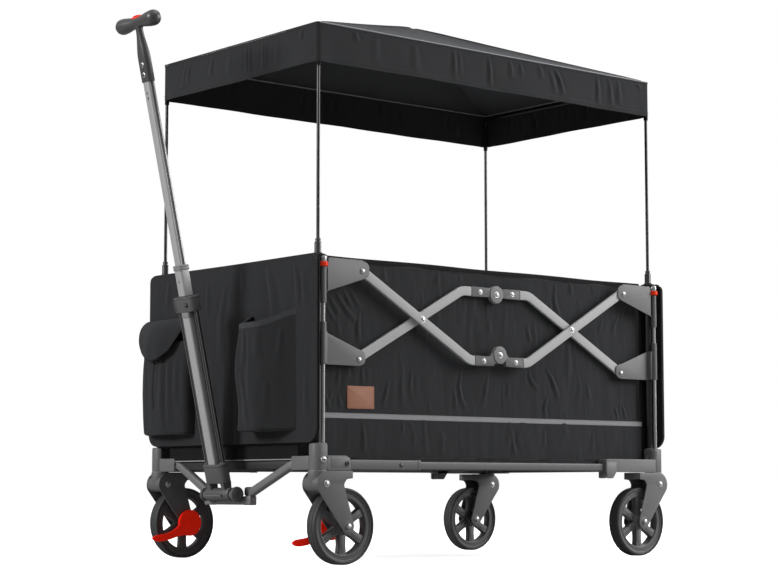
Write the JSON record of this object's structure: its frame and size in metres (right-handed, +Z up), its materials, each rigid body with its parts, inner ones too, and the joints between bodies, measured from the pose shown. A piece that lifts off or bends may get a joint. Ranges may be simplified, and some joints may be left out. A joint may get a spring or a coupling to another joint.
{
  "type": "folding hand-pulled wagon",
  "caption": "Folding hand-pulled wagon: fabric basket on a scissor frame with swivel casters, telescoping T-handle, front pockets and a lift-off canopy on two hoops.",
  "frame": {"origin": "on the ground, under the centre of the bounding box at rest", "axes": "+Z up, +X towards the rear (the handle is at -X), left side at -Y"},
  "size_m": [1.3705, 0.6708, 1.31],
  "materials": {
    "arm_grey": "satin light grey paint with a fine metallic fleck",
    "bracket_grey": "moulded mid grey glass-filled nylon",
    "frame_grey": "dark grey powder coat",
    "fork_grey": "moulded dark grey nylon, fine texture",
    "tyre_black": "solid dark rubber tread",
    "rim_grey": "moulded dark grey",
    "brake_red": "moulded red",
    "button_red": "moulded orange-red",
    "handle_grey": "satin anodised light grey",
    "grip_black": "semi-gloss black",
    "pole_black": "black lacquered steel",
    "fabric_black": "charcoal plain-weave polyester",
    "rod_steel": "grey steel"
  },
  "bodies": {
    "front_end": {"front_corner_casting_left": "bracket_grey", "front_corner_casting_right": "bracket_grey", "front_end_frame": "frame_grey", "front_guide_rod_left": "rod_steel", "front_guide_rod_right": "rod_steel", "front_upper_bracket_left": "bracket_grey", "front_upper_bracket_right": "bracket_grey", "front_rail_channel_left": "frame_grey", "front_rail_channel_right": "frame_grey", "handle_yoke": "frame_grey", "handle_pivot_knob": "bracket_grey", "basket_front_half": "fabric_black", "cargo_pocket": "fabric_black", "pouch_pocket": "fabric_black"},
    "rear_end": {"rear_corner_casting_left": "bracket_grey", "rear_corner_casting_right": "bracket_grey", "rear_end_frame": "frame_grey", "rear_cross_tube": "frame_grey", "rear_guide_rod_left": "rod_steel", "rear_guide_rod_right": "rod_steel", "rear_upper_bracket_left": "bracket_grey", "rear_upper_bracket_right": "bracket_grey", "rear_fork_left": "fork_grey", "rear_fork_right": "fork_grey", "basket_rear_half": "fabric_black"},
    "front_outer_arm_left": {"front_outer_arm_left": "arm_grey"},
    "front_inner_arm_left": {"front_inner_arm_left": "arm_grey"},
    "front_slide_left": {"front_slide_bracket_left": "bracket_grey"},
    "front_wheel_left": {"front_tyre_left": "tyre_black", "front_wheel_rim_left": "rim_grey"},
    "front_outer_arm_right": {"front_outer_arm_right": "arm_grey"},
    "front_inner_arm_right": {"front_inner_arm_right": "arm_grey"},
    "front_slide_right": {"front_slide_bracket_right": "bracket_grey"},
    "front_wheel_right": {"front_tyre_right": "tyre_black", "front_wheel_rim_right": "rim_grey"},
    "rear_outer_arm_left": {"rear_outer_arm_left": "arm_grey"},
    "rear_inner_arm_left": {"rear_inner_arm_left": "arm_grey"},
    "rear_slide_left": {"rear_slide_bracket_left": "bracket_grey"},
    "rear_wheel_left": {"rear_tyre_left": "tyre_black", "rear_wheel_rim_left": "rim_grey"},
    "rear_outer_arm_right": {"rear_outer_arm_right": "arm_grey"},
    "rear_inner_arm_right": {"rear_inner_arm_right": "arm_grey"},
    "rear_slide_right": {"rear_slide_bracket_right": "bracket_grey"},
    "rear_wheel_right": {"rear_tyre_right": "tyre_black", "rear_wheel_rim_right": "rim_grey"},
    "front_caster_left": {"front_fork_left": "fork_grey"},
    "brake_lever_left": {"brake_lever_left": "brake_red"},
    "front_caster_right": {"front_fork_right": "fork_grey"},
    "brake_lever_right": {"brake_lever_right": "brake_red"},
    "base_rails": {"base_rails": "frame_grey"},
    "handle": {"handle_lower_frame": "bracket_grey", "handle_outer_tube": "handle_grey"},
    "handle_slide": {"handle_inner_tube": "handle_grey", "handle_grip": "grip_black"},
    "grip_button": {"grip_button": "button_red"},
    "canopy_front": {"canopy_hoop_front": "pole_black", "canopy_cover": "fabric_black"},
    "canopy_rear": {"canopy_hoop_rear": "pole_black"},
    "pocket_flap": {"pocket_flap": "fabric_black"}
  },
  "joints": [
    {"name": "fold", "type": "hinge", "parent": "front_end", "child": "front_outer_arm_left", "pos_m": [-0.28078, -0.313, 0.6432], "axis": [0, 1, 0], "range_deg": [0, 35]},
    {"name": "fold_arm_front_right", "type": "hinge", "parent": "front_end", "child": "front_outer_arm_right", "pos_m": [-0.28078, 0.313, 0.6432], "axis": [0, 1, 0], "range_deg": [0, 35.1]},
    {"name": "fold_middle_left", "type": "hinge", "parent": "front_outer_arm_left", "child": "rear_outer_arm_left", "pos_m": [0.13472, -0.313, 0.4744], "axis": [0, 1, 0], "range_deg": [-70.1, 0]},
    {"name": "fold_cross_front_left", "type": "hinge", "parent": "front_outer_arm_left", "child": "front_inner_arm_left", "pos_m": [-0.10298, -0.30725, 0.5456], "axis": [0, 1, 0], "range_deg": [-70.1, 0]},
    {"name": "fold_cross_rear_left", "type": "hinge", "parent": "rear_outer_arm_left", "child": "rear_inner_arm_left", "pos_m": [0.37242, -0.30725, 0.5456], "axis": [0, 1, 0], "range_deg": [0, 70.1]},
    {"name": "fold_slider_front_left", "type": "hinge", "parent": "front_inner_arm_left", "child": "front_slide_left", "pos_m": [-0.28078, -0.3015, 0.448], "axis": [0, 1, 0], "range_deg": [0, 35.1]},
    {"name": "fold_slider_rear_left", "type": "hinge", "parent": "rear_inner_arm_left", "child": "rear_slide_left", "pos_m": [0.55022, -0.3015, 0.448], "axis": [0, 1, 0], "range_deg": [-35.1, 0]},
    {"name": "fold_middle_right", "type": "hinge", "parent": "front_outer_arm_right", "child": "rear_outer_arm_right", "pos_m": [0.13472, 0.313, 0.4744], "axis": [0, 1, 0], "range_deg": [-70.1, 0]},
    {"name": "fold_cross_front_right", "type": "hinge", "parent": "front_outer_arm_right", "child": "front_inner_arm_right", "pos_m": [-0.10298, 0.30725, 0.5456], "axis": [0, 1, 0], "range_deg": [-70.1, 0]},
    {"name": "fold_cross_rear_right", "type": "hinge", "parent": "rear_outer_arm_right", "child": "rear_inner_arm_right", "pos_m": [0.37242, 0.30725, 0.5456], "axis": [0, 1, 0], "range_deg": [0, 70.1]},
    {"name": "fold_slider_front_right", "type": "hinge", "parent": "front_inner_arm_right", "child": "front_slide_right", "pos_m": [-0.28078, 0.3015, 0.448], "axis": [0, 1, 0], "range_deg": [0, 35.1]},
    {"name": "fold_slider_rear_right", "type": "hinge", "parent": "rear_inner_arm_right", "child": "rear_slide_right", "pos_m": [0.55022, 0.3015, 0.448], "axis": [0, 1, 0], "range_deg": [-35.1, 0]},
    {"name": "fold_rear_end", "type": "hinge", "parent": "rear_outer_arm_left", "child": "rear_end", "pos_m": [0.55022, -0.313, 0.6432], "axis": [0, 1, 0], "range_deg": [0, 35.1]},
    {"name": "fold_rails", "type": "slide", "parent": "front_end", "child": "base_rails", "axis": [1, 0, 0], "range_m": [-0.2142, 0]},
    {"name": "caster_swivel_left", "type": "hinge", "parent": "front_end", "child": "front_caster_left", "pos_m": [-0.39428, -0.3064, 0.195], "axis": [0, 0, 1], "continuous": true},
    {"name": "front_wheel_spin_left", "type": "hinge", "parent": "front_caster_left", "child": "front_wheel_left", "pos_m": [-0.33128, -0.3064, 0.0833], "axis": [0, 1, 0], "continuous": true},
    {"name": "rear_wheel_spin_left", "type": "hinge", "parent": "rear_end", "child": "rear_wheel_left", "pos_m": [0.60072, -0.3064, 0.0833], "axis": [0, 1, 0], "continuous": true},
    {"name": "brake_left", "type": "hinge", "parent": "front_caster_left", "child": "brake_lever_left", "pos_m": [-0.33128, -0.274, 0.0833], "axis": [0, 1, 0], "range_deg": [-15, 0]},
    {"name": "caster_swivel_right", "type": "hinge", "parent": "front_end", "child": "front_caster_right", "pos_m": [-0.39428, 0.3064, 0.195], "axis": [0, 0, 1], "continuous": true},
    {"name": "front_wheel_spin_right", "type": "hinge", "parent": "front_caster_right", "child": "front_wheel_right", "pos_m": [-0.33128, 0.3064, 0.0833], "axis": [0, 1, 0], "continuous": true},
    {"name": "rear_wheel_spin_right", "type": "hinge", "parent": "rear_end", "child": "rear_wheel_right", "pos_m": [0.60072, 0.3064, 0.0833], "axis": [0, 1, 0], "continuous": true},
    {"name": "brake_right", "type": "hinge", "parent": "front_caster_right", "child": "brake_lever_right", "pos_m": [-0.33128, 0.274, 0.0833], "axis": [0, 1, 0], "range_deg": [-15, 0]},
    {"name": "handle_tilt", "type": "hinge", "parent": "front_end", "child": "handle", "pos_m": [-0.43328, 0, 0.152], "axis": [0, 1, 0], "range_deg": [-65, 12]},
    {"name": "handle_extend", "type": "slide", "parent": "handle", "child": "handle_slide", "axis": [-0.2178, 0, 0.976], "range_m": [-0.385, 0]},
    {"name": "button_press", "type": "slide", "parent": "handle_slide", "child": "grip_button", "axis": [0.2178, 0, -0.976], "range_m": [0, 0.004], "stiffness_N_per_m": 300, "springref_m": -0.002},
    {"name": "canopy_lift", "type": "slide", "parent": "front_end", "child": "canopy_front", "axis": [0, 0, 1], "range_m": [0, 0.05]},
    {"name": "canopy_lift_rear", "type": "slide", "parent": "rear_end", "child": "canopy_rear", "axis": [0, 0, 1], "range_m": [0, 0.0501]},
    {"name": "flap_open", "type": "hinge", "parent": "front_end", "child": "pocket_flap", "pos_m": [-0.41328, 0.235, 0.564], "axis": [0, 1, 0], "range_deg": [0, 100]}
  ],
  "couplings": [
    {"joint": "fold_arm_front_right", "follows": "fold", "ratio": 1},
    {"joint": "fold_middle_left", "follows": "fold", "ratio": -2},
    {"joint": "fold_cross_front_left", "follows": "fold", "ratio": -2},
    {"joint": "fold_cross_rear_left", "follows": "fold", "ratio": 2},
    {"joint": "fold_slider_front_left", "follows": "fold", "ratio": 1},
    {"joint": "fold_slider_rear_left", "follows": "fold", "ratio": -1},
    {"joint": "fold_middle_right", "follows": "fold", "ratio": -2},
    {"joint": "fold_cross_front_right", "follows": "fold", "ratio": -2},
    {"joint": "fold_cross_rear_right", "follows": "fold", "ratio": 2},
    {"joint": "fold_slider_front_right", "follows": "fold", "ratio": 1},
    {"joint": "fold_slider_rear_right", "follows": "fold", "ratio": -1},
    {"joint": "fold_rear_end", "follows": "fold", "ratio": 1},
    {"joint": "fold_rails", "follows": "fold", "m_per_rad": -0.35032},
    {"joint": "canopy_lift_rear", "follows": "canopy_lift", "ratio": 1}
  ]
}
